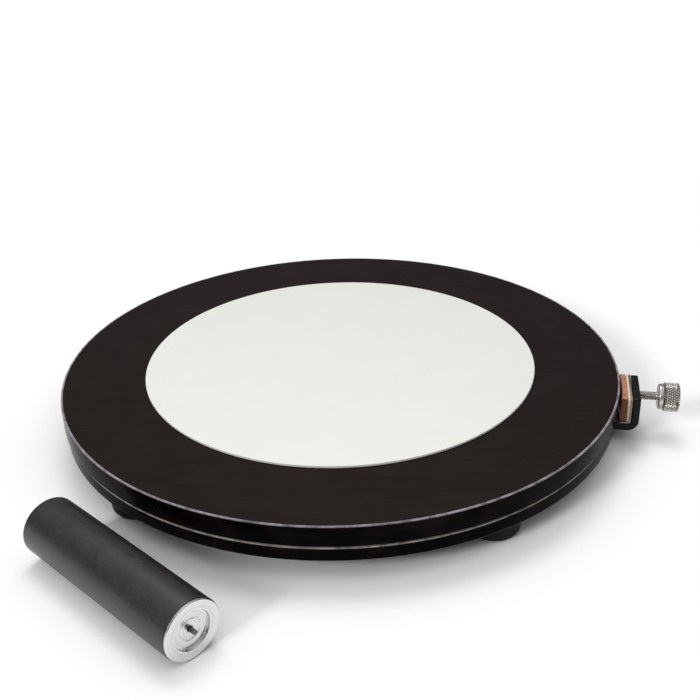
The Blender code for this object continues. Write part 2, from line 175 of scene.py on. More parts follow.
def make_band(name, top, bottom, tint, edge):
    """Gloss edge band: slightly wavy from being ironed on, with a painted highlight along its rounded edges."""
    m = Mat(name, (0.003, 0.0025, 0.0025), 0.2, spec=0.018, Specular_Tint=(*tint, 1),
            Coat_Weight=0.0)
    _, _, z = m.xyz()
    patch = m.noise(1.0, 3, 0.55, m.at((16, 16, 9)))
    fine = m.noise(0.8, 4, 0.6)
    # painted highlight along the two rounded edges, broken up by noise; it also roughens them
    up = m.span(z, top - 0.75, top - 0.12)
    down = m.span(z, bottom + 0.55, bottom + 0.1)
    edge_highlight = m.calc('MULTIPLY', m.calc('MAXIMUM', up, m.calc('MULTIPLY', down, 0.5)),
                 m.span(m.noise(5.5, 4, 0.6), 0.28, 0.62, 0.35, 1.0))
    base = m.mix(m.span(patch, 0.42, 0.75), (0.0014, 0.0011, 0.0011), (0.0080, 0.0046, 0.0040))
    m.color(m.mix(edge_highlight, base, edge))
    m.rough(m.calc('ADD', m.span(fine, 0.3, 0.7, 0.13, 0.24), m.calc('MULTIPLY', edge_highlight, 0.12)))
    m.bump(patch, 0.30, 0.35)
    m.bump(fine, 0.12, 0.02)
    return m.m


def make_white():
    """White slick plastic sheet: satin, faint machining haze and fine scuffs."""
    m = Mat("white_plastic", (0.80, 0.80, 0.755), 0.42, spec=0.35)
    haze = m.noise(22, 4, 0.55)
    scuff = m.noise(1.0, 3, 0.7, m.at((9, 0.35, 1), turn=37))
    scuff2 = m.noise(1.0, 3, 0.7, m.at((7, 0.3, 1), turn=-52))
    r = m.radius()
    # darker towards the outer edge of the sheet
    rim_darkening = m.span(r, 106.9, 107.4)
    c = m.mix(m.span(haze, 0.3, 0.7), (0.797, 0.797, 0.755), (0.808, 0.808, 0.768))
    m.color(m.mix(m.calc('MULTIPLY', rim_darkening, 0.12), c, (0.52, 0.50, 0.45)))
    both = m.calc('MAXIMUM', m.span(scuff, 0.58, 0.78), m.span(scuff2, 0.60, 0.80))
    m.rough(m.calc('ADD', m.span(haze, 0.3, 0.7, 0.38, 0.42), m.calc('MULTIPLY', both, 0.16)))
    m.bump(both, 0.25, 0.015)
    m.bump(m.noise(0.25, 3, 0.6), 0.15, 0.01)
    return m.m


def make_core():
    """Raw fibreboard: short pressed fibres, darker specks."""
    m = Mat("core_board", (0.30, 0.19, 0.11), 0.85, spec=0.2)
    fibre = m.noise(1.0, 4, 0.7, m.at((3, 0.4, 0.5), turn=20))
    fibre2 = m.noise(1.0, 4, 0.7, m.at((0.5, 2.6, 0.5), turn=-15))
    f = m.calc('MAXIMUM', fibre, fibre2)
    m.color(m.mix(m.span(f, 0.45, 0.75), (0.20, 0.115, 0.06), (0.38, 0.25, 0.15)))
    m.rough(m.span(f, 0.4, 0.8, 0.78, 0.93))
    m.bump(f, 0.6, 0.15)
    return m.m


def make_steel(name, dark, light, rough, grain=(0.3, 0.3, 8), spot=9):
    """Plain metal with a drawn or rolled grain and slight staining."""
    m = Mat(name, light, rough, metal=1.0)
    g = m.noise(1.0, 4, 0.6, m.at(grain))
    s = m.noise(spot, 4, 0.6)
    v = m.calc('ADD', m.calc('MULTIPLY', g, 0.45), m.calc('MULTIPLY', s, 0.55))
    m.color(m.mix(m.span(v, 0.36, 0.64), dark, light))
    m.rough(m.span(v, 0.35, 0.65, rough + 0.09, rough - 0.07))
    m.bump(g, 0.18, 0.02)
    return m.m


def make_zinc():
    """Zinc plate: pale, faintly yellow and blue in patches."""
    m = Mat("zinc_steel", (0.62, 0.62, 0.60), 0.32, metal=1.0)
    s = m.noise(2.4, 4, 0.6)
    c = m.mix(m.span(s, 0.35, 0.65), (0.56, 0.55, 0.47), (0.62, 0.65, 0.68))
    m.color(m.mix(m.span(m.cells(0.5), 0.0, 0.35, 0.25, 0.0), c, (0.38, 0.38, 0.37)))
    m.rough(m.span(s, 0.3, 0.7, 0.40, 0.26))
    m.bump(m.noise(0.3, 3, 0.6), 0.2, 0.02)
    return m.m


def make_nylon():
    m = Mat("cage_plastic", (0.75, 0.72, 0.62), 0.48, spec=0.4)
    s = m.noise(4, 4, 0.55)
    m.color(m.mix(m.span(s, 0.3, 0.7), (0.66, 0.62, 0.50), (0.80, 0.78, 0.69)))
    m.rough(m.span(s, 0.3, 0.7, 0.42, 0.56))
    m.bump(m.noise(0.4, 3, 0.6), 0.3, 0.02)
    return m.m


def make_bronze():
    """Sintered bronze: fine pores, oil-darkened."""
    m = Mat("bush_bronze", (0.60, 0.40, 0.20), 0.42, metal=1.0)
    pore = m.cells(0.28)
    s = m.noise(3, 4, 0.6)
    c = m.mix(m.span(s, 0.3, 0.7), (0.42, 0.25, 0.11), (0.64, 0.43, 0.22))
    m.color(m.mix(m.span(pore, 0.0, 0.3, 0.7, 0.0), c, (0.12, 0.07, 0.04)))
    m.rough(m.span(s, 0.3, 0.7, 0.36, 0.50))
    m.bump(pore, 0.3, 0.04)
    return m.m


def make_rubber():
    """Black moulded rubber: dull, slightly dusty, fine pebble."""
    m = Mat("foot_rubber", (0.012, 0.012, 0.012), 0.7, spec=0.18)
    _, _, z = m.xyz()
    dust = m.noise(2.6, 5, 0.62)
    low = m.span(z, -28.5, -32.2)
    v = m.calc('MULTIPLY', m.span(dust, 0.42, 0.72), m.calc('ADD', m.calc('MULTIPLY', low, 0.7), 0.3))
    m.color(m.mix(v, (0.0065, 0.0062, 0.0060), (0.024, 0.022, 0.020)))
    m.rough(m.span(dust, 0.3, 0.7, 0.58, 0.82))
    m.bump(m.noise(0.32, 3, 0.65), 0.45, 0.05)
    return m.m


def make_enamel():
    """Gloss black enamel over folded steel: orange peel, thin chips at edges."""
    m = Mat("bracket_paint", (0.003, 0.003, 0.0035), 0.16, spec=0.16)
    peel = m.noise(0.9, 3, 0.5)
    geo = m.node("ShaderNodeNewGeometry")
    edge = m.calc('MULTIPLY', m.span(geo.outputs["Pointiness"], 0.53, 0.60),
                  m.span(m.noise(0.8, 4, 0.65), 0.50, 0.62))
    haze = m.noise(7, 3, 0.6)
    m.color(m.mix(m.calc('MULTIPLY', edge, 0.6),
                  m.mix(haze, (0.0020, 0.0020, 0.0025), (0.0040, 0.0038, 0.0045)),
                  (0.16, 0.15, 0.16)))
    m.rough(m.calc('ADD', m.span(haze, 0.3, 0.7, 0.11, 0.21), m.calc('MULTIPLY', edge, 0.2)))
    m.bump(peel, 0.22, 0.06)
    return m.m


def make_nickel(name="nickel_steel"):
    """Dull nickel plate on cut steel: warm grey, with painted shade in its hollows and a painted highlight on its
    peaks.
    """
    m = Mat(name, (0.60, 0.56, 0.53), 0.3, metal=1.0)
    s = m.noise(1.8, 5, 0.6)
    geo = m.node("ShaderNodeNewGeometry")
    # painted shade where the surface is concave
    pit_shade = m.span(geo.outputs["Pointiness"], 0.49, 0.43)
    # painted highlight on the sharpest peaks of the knurl
    top = m.span(geo.outputs["Pointiness"], 0.52, 0.60)
    # painted shade in the hollows of the knurl, measured from the screw's axis
    hollow_shade = m.calc('MULTIPLY', m.span(m.radius(), 7.62, 7.26), m.span(m.radius(), 6.95, 7.10))
    c = m.mix(m.span(s, 0.35, 0.65), (0.42, 0.385, 0.365), (0.58, 0.545, 0.52))
    c = m.mix(m.calc('MULTIPLY', m.calc('MAXIMUM', pit_shade, hollow_shade), 0.80), c, (0.11, 0.085, 0.078))
    m.color(m.mix(m.calc('MULTIPLY', top, 0.4), c, (0.72, 0.69, 0.66)))
    m.rough(m.calc('ADD', m.span(s, 0.3, 0.7, 0.36, 0.24), m.calc('MULTIPLY', pit_shade, 0.25)))
    m.bump(m.noise(0.22, 3, 0.6), 0.25, 0.02)
    return m.m


def make_felt():
    """Cream pressed felt: tangled short fibres."""
    m = Mat("cream_backing", (0.76, 0.62, 0.40), 0.9, spec=0.1,
            Sheen_Weight=0.25, Sheen_Roughness=0.5)
    a = m.noise(1.0, 5, 0.75, m.at((0.16, 1.2, 0.16)), distortion=1.2)
    b = m.noise(1.0, 5, 0.75, m.at((0.16, 0.3, 0.9)), distortion=1.5)
    f = m.calc('MULTIPLY', m.calc('ADD', a, b), 0.5)
    stain = m.noise(3.2, 3, 0.5)
    c = m.mix(m.span(f, 0.36, 0.64), (0.56, 0.45, 0.30), (0.78, 0.70, 0.55))
    m.color(m.mix(m.span(stain, 0.45, 0.75, 0.0, 0.45), c, (0.62, 0.44, 0.20)))
    m.rough(m.span(f, 0.3, 0.7, 0.82, 0.96))
    m.bump(f, 0.8, 0.14)
    return m.m


def make_leather():
    """Vegetable-tanned sole leather: copper, darker red-brown in patches."""
    m = Mat("brake_leather", (0.42, 0.16, 0.07), 0.62, spec=0.3)
    grain = m.cells(0.42, 'F1', m.at((1, 1, 1)))
    fibre = m.noise(1.0, 5, 0.7, m.at((0.8, 0.25, 0.9)))
    patch = m.noise(3.4, 4, 0.6)
    _, y, z = m.xyz()
    c = m.mix(m.span(fibre, 0.35, 0.65), (0.46, 0.175, 0.085), (0.70, 0.34, 0.20))
    c = m.mix(m.span(patch, 0.46, 0.70, 0.0, 0.75), c, (0.30, 0.085, 0.025))
    # painted shade: the cut ends are darker than the top
    end_face_shade = m.calc('MULTIPLY', m.span(m.calc('ABSOLUTE', y), 13.2, 13.8), 0.80)
    m.color(m.mix(end_face_shade, c, (0.085, 0.018, 0.006)))
    m.rough(m.span(fibre, 0.3, 0.7, 0.50, 0.74))
    m.bump(m.calc('ADD', m.calc('MULTIPLY', grain, 0.5), fibre), 0.5, 0.10)
    return m.m


def make_oxide():
    """Satin black oxide on turned steel: cloudy brown, green and violet tints."""
    m = Mat("oxide_black", (0.02, 0.02, 0.02), 0.36, spec=0.60)
    cloud = m.noise(7.5, 5, 0.6)
    cloud2 = m.noise(5.2, 4, 0.6, m.at(shift=(31, 7, 3)))
    mott = m.noise(1.3, 5, 0.68)
    turn = m.noise(1.0, 3, 0.6, m.at((14, 14, 0.16)))
    c = m.mix(m.span(cloud, 0.36, 0.66), (0.006, 0.008, 0.007), (0.020, 0.014, 0.013))
    c = m.mix(m.span(cloud2, 0.40, 0.66, 0.0, 0.7), c, (0.008, 0.011, 0.009))
    c = m.mix(m.span(mott, 0.42, 0.68, 0.0, 0.6), c, (0.030, 0.023, 0.025))
    m.color(c)
    r = m.calc('ADD', m.span(mott, 0.3, 0.7, 0.32, 0.42), m.span(turn, 0.3, 0.7, -0.03, 0.03))
    m.rough(r)
    m.bump(turn, 0.20, 0.02)
    m.bump(mott, 0.22, 0.05)
    m.bump(m.noise(0.3, 3, 0.6), 0.30, 0.02)
    return m.m


def make_turned():
    """Faced aluminium: fine concentric tool marks, a little uneven."""
    m = Mat("turned_aluminium", (0.76, 0.755, 0.75), 0.26, metal=1.0, Anisotropic=0.35)
    r = m.radius()
    warp = m.noise(5, 3, 0.5)
    ring = m.noise(1.0, 3, 0.65, None)
    wave = m.calc('SINE', m.calc('MULTIPLY', m.calc('ADD', r, m.calc('MULTIPLY', warp, 0.15)), TAU / 0.23))
    band = m.node("ShaderNodeTexNoise", noise_dimensions='1D')
    m.put(band.inputs["W"], m.calc('MULTIPLY', r, 1.6))
    band.inputs["Scale"].default_value = 1.0
    band.inputs["Detail"].default_value = 4.0
    lines = band.outputs["Fac"]
    smudge = m.noise(3.4, 4, 0.6)
    m.color(m.mix(m.span(lines, 0.35, 0.65), (0.62, 0.615, 0.61), (0.82, 0.82, 0.815)))
    m.rough(m.calc('ADD', m.span(lines, 0.3, 0.7, 0.26, 0.17), m.span(smudge, 0.4, 0.75, 0.0, 0.10)))
    m.bump(wave, 0.10, 0.006)
    m.bump(lines, 0.22, 0.02)
    m.bump(ring, 0.05, 0.01)
    t = m.node("ShaderNodeTangent", direction_type='RADIAL', axis='Z')
    m.t.links.new(t.outputs["Tangent"], m.b.inputs["Tangent"])
    return m.m


def make_floor():
    m = Mat("studio_floor", (0.96, 0.96, 0.96), 0.9, spec=0.0)
    s = m.noise(260, 3, 0.5)
    m.color(m.mix(m.span(s, 0.3, 0.7), (0.955, 0.955, 0.955), (0.97, 0.97, 0.97)))
    return m.m


LAMINATE = make_laminate()
# the last colour given to each band is its painted highlight along the rounded edges
BAND_TOP = make_band("black_band", -1.6, -12.6, (1.0, 0.95, 1.0), (0.315, 0.28, 0.31))
BAND_LOW = make_band("black_band_base", -13.8, -21.0, (1.0, 0.98, 0.94), (0.46, 0.44, 0.39))
WHITE = make_white()
CORE = make_core()
BEARING = make_steel("bearing_steel", (0.42, 0.42, 0.43), (0.58, 0.59, 0.61), 0.26)
SHOE = make_steel("shoe_steel", (0.20, 0.19, 0.18), (0.34, 0.33, 0.32), 0.38, (0.4, 6, 0.4), 3)
PIN = make_steel("dark_steel", (0.10, 0.095, 0.085), (0.24, 0.225, 0.20), 0.33, (0.2, 0.2, 2), 1.2)
ZINC = make_zinc()
NYLON = make_nylon()
BRONZE = make_bronze()
RUBBER = make_rubber()
ENAMEL = make_enamel()
NICKEL = make_nickel()
FELT = make_felt()
LEATHER = make_leather()
OXIDE = make_oxide()
ALU = make_turned()

# ---------------------------------------------------------------- mesh helpers


def fillets(pts, n=5):
    """Closed outline of (r, z, radius) corners; each corner is rounded."""
    out, k = [], len(pts)
    for i, (x, z, rad) in enumerate(pts):
        if rad <= 0:
            out.append((x, z))
            continue
        p = Vector((x, z))
        a = Vector(pts[i - 1][:2]) - p
        b = Vector(pts[(i + 1) % k][:2]) - p
        la, lb = a.length, b.length
        a.normalize()
        b.normalize()
        half = a.angle(b) / 2
        d = min(rad / math.tan(half), 0.495 * la, 0.495 * lb)
        rr = d * math.tan(half)
        c = p + (a + b).normalized() * (rr / math.sin(half))
        s, e = p + a * d, p + b * d
        a0 = math.atan2(s.y - c.y, s.x - c.x)
        a1 = math.atan2(e.y - c.y, e.x - c.x)
        da = (a1 - a0 + math.pi) % TAU - math.pi
        for j in range(n + 1):
            t = a0 + da * j / n
            out.append((c.x + rr * math.cos(t), c.y + rr * math.sin(t)))
    return out


def build(name, verts, faces, mat, angle=32, matrix=None):
    bm = bmesh.new()
    vs = [bm.verts.new(v) for v in verts]
    for f in faces:
        bm.faces.new([vs[i] for i in f])
    bmesh.ops.recalc_face_normals(bm, faces=bm.faces)
    me = bpy.data.meshes.new(name)
    bm.to_mesh(me)
    bm.free()
    ob = bpy.data.objects.new(name, me)
    scene.collection.objects.link(ob)
    if mat is not None:
        me.materials.append(mat)
    if matrix is not None:
        ob.matrix_world = matrix
    soften(ob, angle)
    return ob


def soften(ob, angle=32):
    ob.data.shade_smooth()
    ob.data.set_sharp_from_angle(angle=math.radians(angle))


def lathe(name, outline, mat, segs=128, shape=None, matrix=None, angle=32):
    """Revolve a closed (r, z) outline; shape(r, z, t) may change each radius."""
    verts, rings = [], []
    for r, z in outline:
        if r < 1e-6:
            rings.append([len(verts)])
            verts.append((0, 0, z * MM))
            continue
        rings.append(list(range(len(verts), len(verts) + segs)))
        for j in range(segs):
            t = TAU * j / segs
            q = shape(r, z, t) if shape else r
            verts.append((q * math.cos(t) * MM, q * math.sin(t) * MM, z * MM))
    faces, k = [], len(outline)
    for i in range(k):
        A, B = rings[i], rings[(i + 1) % k]
        if len(A) == 1 and len(B) == 1:
            continue
        for j in range(segs):
            n = (j + 1) % segs
            if len(A) == 1:
                faces.append((A[0], B[n], B[j]))
            elif len(B) == 1:
                faces.append((A[j], A[n], B[0]))
            else:
                faces.append((A[j], A[n], B[n], B[j]))
    return build(name, verts, faces, mat, angle, matrix)


def settle(ob, angle=32):
    """Apply every modifier to the mesh."""
    dg = bpy.context.evaluated_depsgraph_get()
    dg.update()
    me = bpy.data.meshes.new_from_object(ob.evaluated_get(dg))
    old = ob.data
    ob.modifiers.clear()
    ob.data = me
    bpy.data.meshes.remove(old)
    soften(ob, angle)


def carve(ob, *cutters, angle=32):
    bpy.context.view_layer.update()
    for c in cutters:
        m = ob.modifiers.new("cut", 'BOOLEAN')
        m.operation, m.solver, m.object = 'DIFFERENCE', 'EXACT', c
    settle(ob, angle)
    for c in cutters:
        bpy.data.objects.remove(c, do_unlink=True)


def round_edges(ob, width, segments=3, limit=40):
    m = ob.modifiers.new("round", 'BEVEL')
    m.width, m.segments, m.limit_method = width * MM, segments, 'ANGLE'
    m.angle_limit = math.radians(limit)
    settle(ob)


def prism(name, outline, y0, y1, mat):
    """Extrude an (x, z) outline along Y."""
    n = len(outline)
    verts = [(x * MM, y0 * MM, z * MM) for x, z in outline]
    verts += [(x * MM, y1 * MM, z * MM) for x, z in outline]
    faces = [tuple(range(n)), tuple(range(2 * n - 1, n - 1, -1))]
    faces += [(i, (i + 1) % n, n + (i + 1) % n, n + i) for i in range(n)]
    return build(name, verts, faces, mat)


def block(name, size, rho, step, mat, warp, matrix=None, angle=32):
    """A closed box of the given size with edges of radius rho, gridded every
    step mm; warp(p, n) moves each point, given its outward direction."""
    def lines(h):
        edge = [h, h - rho * 0.13, h - rho * 0.5, h - rho]
        inner = max(1, round(2 * (h - rho) / step))
        mid = [-(h - rho) + 2 * (h - rho) * i / inner for i in range(inner + 1)]
        return [-e for e in edge[:3]] + mid + edge[2::-1]
    h = [s / 2 for s in size]
    grid = [lines(v) for v in h]
    index, verts, faces = {}, [], []

    def point(i, j, k):
        if (i, j, k) not in index:
            p = [grid[0][i], grid[1][j], grid[2][k]]
            core = [max(-(h[a] - rho), min(h[a] - rho, p[a])) for a in range(3)]
            d = Vector([p[a] - core[a] for a in range(3)])
            n = d.normalized()
            q = Vector(core) + n * rho
            index[(i, j, k)] = len(verts)
            verts.append(Vector(warp(q, n)) * MM)
        return index[(i, j, k)]
    L = [len(g) - 1 for g in grid]
    for a in range(3):
        b, c = (a + 1) % 3, (a + 2) % 3
        for end in (0, L[a]):
            for u in range(L[b]):
                for v in range(L[c]):
                    q = []
                    for du, dv in ((0, 0), (1, 0), (1, 1), (0, 1)):
                        ijk = [0, 0, 0]
                        ijk[a], ijk[b], ijk[c] = end, u + du, v + dv
                        q.append(point(*ijk))
                    faces.append(tuple(q))
    return build(name, verts, faces, mat, angle, matrix)


def fuzz(p, size, amount, seed=0.0):
    """Smooth noise, about -amount to +amount mm."""
    return amount * noise.fractal(Vector(p) / size + Vector((seed, seed, seed)), 0.6, 2.0, 4)


def wear(piece, body, slot, *replaced):
    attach(piece, body)
    if replaced:
        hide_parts(*replaced)
    return piece


def dress(node, mat):
    ob = nodes[node]
    if not ob.material_slots:
        ob.data.materials.append(mat)
    for s in ob.material_slots:
        s.material = mat


def clone(ob, name, at):
    c = bpy.data.objects.new(name, ob.data)
    scene.collection.objects.link(c)
    c.matrix_world = Matrix.Translation(Vector(at) * MM)
    return c


def cross_recess(at, depth, width, up=True):
    """Cutters for a cross-head driver recess that opens downwards at point at."""
    out = []
    for a in (0, 90):
        verts, faces = [], []
        for z, s in ((-0.4, 1.0), (depth, 0.35)):
            for x, y in ((-1, -1), (1, -1), (1, 1), (-1, 1)):
                verts.append((x * width * s * MM, y * 0.55 * MM, z * MM))
        faces = [(0, 1, 2, 3), (7, 6, 5, 4), (0, 4, 5, 1), (1, 5, 6, 2), (2, 6, 7, 3), (3, 7, 4, 0)]
        out.append(build("recess", verts, faces, None,
                         matrix=Matrix.Translation(Vector(at) * MM) @ Matrix.Rotation(math.radians(a + 20), 4, 'Z')))
    return out


def thread(major, minor, pitch, z0, z1, hand=1):
    """Radius of a screw thread at height z and angle t, faded at both ends."""
    def r(z, t):
        u = (z / pitch - hand * t / TAU) % 1.0
        tri = abs(2 * u - 1)
        h = min(1.0, max(0.0, (tri - 0.12) / 0.70))
        fade = min(1.0, max(0.0, (z - z0) / pitch), max(0.0, (z1 - z) / pitch))
        return minor + (major - minor) * h * fade
    return r


def steps(a, b, size):
    n = max(1, math.ceil(abs(b - a) / size))
    return [a + (b - a) * i / n for i in range(n + 1)]


# ----------------------------------------------------------------------- wheel
WHEEL_R, BASE_R = 152.4, 151.4

wear(lathe("laminate_top", fillets([
    (0, -2.4, 0), (151.33, -2.4, 0), (151.33, -1.6, 0.12), (0, -1.6, 0)], 2),
    LAMINATE, 288), "wheel", "black_laminate", "wheel_laminate")

band = lathe("wheel_rim_band", fillets([
    (151.36, -12.6, 0.08), (WHEEL_R, -12.6, 0.5), (WHEEL_R, -1.6, 0.95), (151.36, -1.6, 0.03)], 8),
    BAND_TOP, 360)
wear(band, "wheel", "black_band", "wheel_edge_band")

# the sheet's edge is cut square with a small break, and its underside is
# relieved so that it stands on the laminate with a fine dark line round it
wear(lathe("slick_disc", fillets([
    (0, -1.58, 0), (107.0, -1.58, 0), (107.0, -1.25, 0), (107.4, -1.12, 0.05),
    (107.4, 0, 0.95), (0, 0, 0)], 5), WHITE, 360), "wheel", "white_plastic", "glide_disc")

# ------------------------------------------------------------------------ base
wear(lathe("base_rim_band", fillets([
    (150.36, -21.0, 0.08), (BASE_R, -21.0, 0.5), (BASE_R, -13.8, 0.9), (150.36, -13.8, 0.03)], 8),
    BAND_LOW, 360), "base", "black_band", "base_edge_band")
wear(lathe("base_disc", fillets([
    (8.3, -21.0, 0.3), (150.32, -21.0, 0.12), (150.32, -13.8, 0.12), (70.5, -13.8, 0.2),
    (70.5, -17.2, 0), (50, -17.2, 0), (50, -13.8, 0.2), (8.3, -13.8, 0.2)], 2),
    LAMINATE, 288), "base", "black_laminate", "base_board")

# ------------------------------------------------------------------------ feet
foot_angles = {"foot_rear_right": 52.2, "foot_rear_left": 132.8,
               "foot_front_left": 232.2, "foot_front_right": -47.2}
spots = {n: (135 * math.cos(math.radians(a)), 135 * math.sin(math.radians(a)))
         for n, a in foot_angles.items()}


def foot_at(name, x, y):
    ob = lathe("rubber_" + name, fillets([
        (2.4, -21.02, 0.1), (14.6, -21.02, 0.35), (14.6, -22.3, 0.5), (13.55, -22.9, 0.25),
        (12.75, -30.4, 0.9), (11.1, -32.6, 0.9), (8.9, -32.6, 0.25), (8.5, -32.2, 0.2),
        (7.5, -32.2, 0.2), (7.1, -32.6, 0.25), (4.9, -32.6, 0.35), (4.9, -26.6, 0.25),
        (2.4, -26.6, 0.1)], 4), RUBBER, 96)
    ob.matrix_world = Matrix.Translation((x * MM, y * MM, 0))
    return ob


screw = None
for i, (n, (x, y)) in enumerate(spots.items(), 1):
    wear(foot_at(n, x, y), "base", "foot_rubber", n)
    if screw is None:
        screw = lathe("foot_fixing_1", fillets([
            (0, -29.0, 0), (2.6, -29.0, 0.7), (4.3, -28.0, 0.5), (4.3, -26.9, 0.15),
            (2.0, -26.9, 0.1), (2.0, -18.6, 0.3), (0, -17.0, 0)], 4), ZINC, 64)
        carve(screw, *cross_recess((0, 0, -29.0), 1.7, 2.1))
        first = screw
        first.matrix_world = Matrix.Translation((x * MM, y * MM, 0))
        wear(first, "base", "zinc_steel", f"foot_screw_{i}")
    else:
        wear(clone(screw, f"foot_fixing_{i}", (x, y, 0)), "base", "zinc_steel", f"foot_screw_{i}")

# ------------------------------------------------------- pivot under the base
cut_thread = thread(5.0, 4.25, 1.5, -28.2, -22.5)
rows = steps(-28.3, -22.4, 0.125)
wear(lathe("pivot_stud", [(0, -28.9), (3.6, -28.9), (4.15, -28.75)]
           + [(4.9, z) for z in rows]
           + fillets([(5.0, -21.9, 0), (5.0, -6.3, 0.2), (8.0, -6.3, 0.25), (8.0, -3.0, 0.6),
                      (0, -3.0, 0)], 4),
           ZINC, 72, shape=lambda r, z, t: cut_thread(z, t) if abs(r - 4.9) < 1e-6 else r),
     "wheel", "zinc_steel", "pivot_bolt")
wear(lathe("pivot_flat_washer", fillets([
    (5.3, -22.7, 0.1), (10.5, -22.7, 0.3), (10.5, -21.3, 0.12), (5.3, -21.3, 0.1)], 3),
    ZINC, 96), "wheel", "zinc_steel", "pivot_washer")


def hexed(r, z, t):
    """Hexagon flats, with the corners turned off in a cone at the outer face."""
    if r < 6.5:
        return r
    flat = 8.0 / math.cos((t + math.radians(30)) % math.radians(60) - math.radians(30))
    cone = 8.15 + max(0.0, min(1.2, (z + 27.0) / 0.55 * 0.32 + 0.45))
    return min(flat, r, cone + 0.2)


wear(lathe("pivot_lock_nut", [(5.3, -27.6), (6.4, -27.6), (6.9, -27.5), (7.3, -27.2), (7.6, -26.9),
                              (9.24, -26.85), (9.24, -26.5), (9.24, -26.2), (9.24, -25.8),
                              (9.24, -25.2), (9.24, -24.2), (9.24, -23.05), (9.1, -23.0), (5.3, -23.0)],
           ZINC, 144, shape=hexed), "wheel", "zinc_steel", "pivot_nut")

# --------------------------------------------------------------- brake bracket
W = 14.0
bx0, bx1, top, leg0, leg1 = 159.2, 163.2, -6.2, -25.3, -21.3


def arc(cx, cz, r, a0, a1, n):
    return [(cx + r * math.cos(math.radians(a0 + (a1 - a0) * i / n)),
             cz + r * math.sin(math.radians(a0 + (a1 - a0) * i / n))) for i in range(n + 1)]


bracket = prism("folded_bracket",
                [(127.0, leg0)] + arc(bx1 - 6, leg0 + 6, 6, -90, 0, 20)
                + [(bx1, top), (bx0, top)] + arc(bx0 - 1, leg1 + 1, 1, 0, -90, 8) + [(127.0, leg1)],
                -W, W, ENAMEL)
corners = []
for side in (1, -1):
    pts = [(side * (W + 2), top + 2), (side * (W + 2), top - 1.0)]
    pts += [(side * (W - 1 + math.cos(math.radians(t))), top - 1 + math.sin(math.radians(t)))
            for t in range(0, 91, 9)]
    pts += [(side * (W - 1), top + 2)]
    k = len(pts)
    verts = [((bx0 - 2) * MM, y * MM, z * MM) for y, z in pts] + [((bx1 + 2) * MM, y * MM, z * MM) for y, z in pts]
    faces = [tuple(range(k)), tuple(range(2 * k - 1, k - 1, -1))]
    faces += [(i, (i + 1) % k, k + (i + 1) % k, k + i) for i in range(k)]
    corners.append(build("corner", verts, faces, None))
carve(bracket, *corners)
round_edges(bracket, 0.45, 3, 50)
to_screw = Matrix.Translation((0.1592, 0, -0.011)) @ Matrix.Rotation(math.radians(90), 4, 'Y')
hole = lathe("hole", fillets([(0, -6, 0), (3.1, -6, 0), (3.1, 0.0, 0), (2.55, 0.5, 0),
                              (2.55, 3.5, 0), (3.1, 4.05, 0), (3.1, 8, 0), (0, 8, 0)]), None, 64,
             matrix=to_screw)
legs = []
for y in (-8.0, 8.0):
    legs.append(lathe("hole", [(0, leg0 - 1), (4.0, leg0 - 1), (4.0, leg0), (2.2, leg0 + 2.1),
                               (2.2, leg1 + 1), (0, leg1 + 1)], None, 48,
                      matrix=Matrix.Translation((0.137, y * MM, 0))))
carve(bracket, hole, *legs)
wear(bracket, "base", "bracket_paint", "brake_bracket")

csk = lathe("bracket_fixing_1", fillets([
    (0, leg0 + 0.2, 0), (3.5, leg0 + 0.2, 0.15), (1.8, leg0 + 2.2, 0.1), (1.8, -18.3, 0.3),
    (0, -17.0, 0)], 3), ZINC, 64)
carve(csk, *cross_recess((0, 0, leg0 + 0.2), 1.5, 1.9))
csk2 = clone(csk, "bracket_fixing_2", (137.0, 8.0, 0))
csk.matrix_world = Matrix.Translation((0.137, -0.008, 0))
wear(csk, "base", "zinc_steel", "bracket_screw_1")
wear(csk2, "base", "zinc_steel", "bracket_screw_2")

# ------------------------------------------------------------------- brake pad
px = 158.9
shoe = prism("sheet_shoe",
             [(153.4, -21.0)] + arc(px - 1.3, -19.7, 1.3, -90, 0, 10)
             + [(px, top), (px - 0.8, top)] + arc(px - 1.3, -19.7, 0.5, 0, -90, 6)
             + [(153.4, -20.2)], -W, W, SHOE)
round_edges(shoe, 0.14, 2, 50)
shoe_hole = lathe("hole", [(0, -3), (1.9, -3), (1.9, 3), (0, 3)], None, 48, matrix=to_screw)
carve(shoe, shoe_hole)
wear(shoe, "brake_pad", "shoe_steel", "pressure_shoe")

pad_z0, pad_z1 = -19.9, -6.2
zc, zh = (pad_z0 + pad_z1) / 2, pad_z1 - pad_z0


def felt_warp(p, n):
    q = Vector((p.x + 157.28, p.y, p.z + zc))
    d = fuzz(q, 0.9, 0.10, 3.0) + fuzz(q, 4.0, 0.05, 9.0) - 0.07
    return q + n * d


felt = block("felt_backing", (1.50, 28.0, zh), 0.28, 0.40, FELT, felt_warp)
pocket = lathe("hole", [(0, -4.5), (2.7, -4.5), (2.7, -0.2), (0, -0.2)], None, 48, matrix=to_screw)
carve(felt, pocket)
wear(felt, "brake_pad", "cream_backing", "pad_backing")


def leather_warp(p, n):
    # the outer face is flat at x = 156.45; the inner face follows the rim
    y = p.y
    inner = 1.2 + math.sqrt(152.7 ** 2 - y * y)
    u = (p.x + 1.6) / 3.2
    q = Vector((inner + u * (156.45 - inner), y, p.z + zc))
    amount = 0.05 if abs(n.x) > 0.7 else 0.11
    d = fuzz(q, 1.3, amount, 17.0) - (0.02 if abs(n.x) > 0.7 else 0.09)
    return q + n * d


wear(block("leather_facing", (3.2, 28.0, zh), 0.30, 0.40, LEATHER, leather_warp),
     "brake_pad", "brake_leather", "brake_leather")

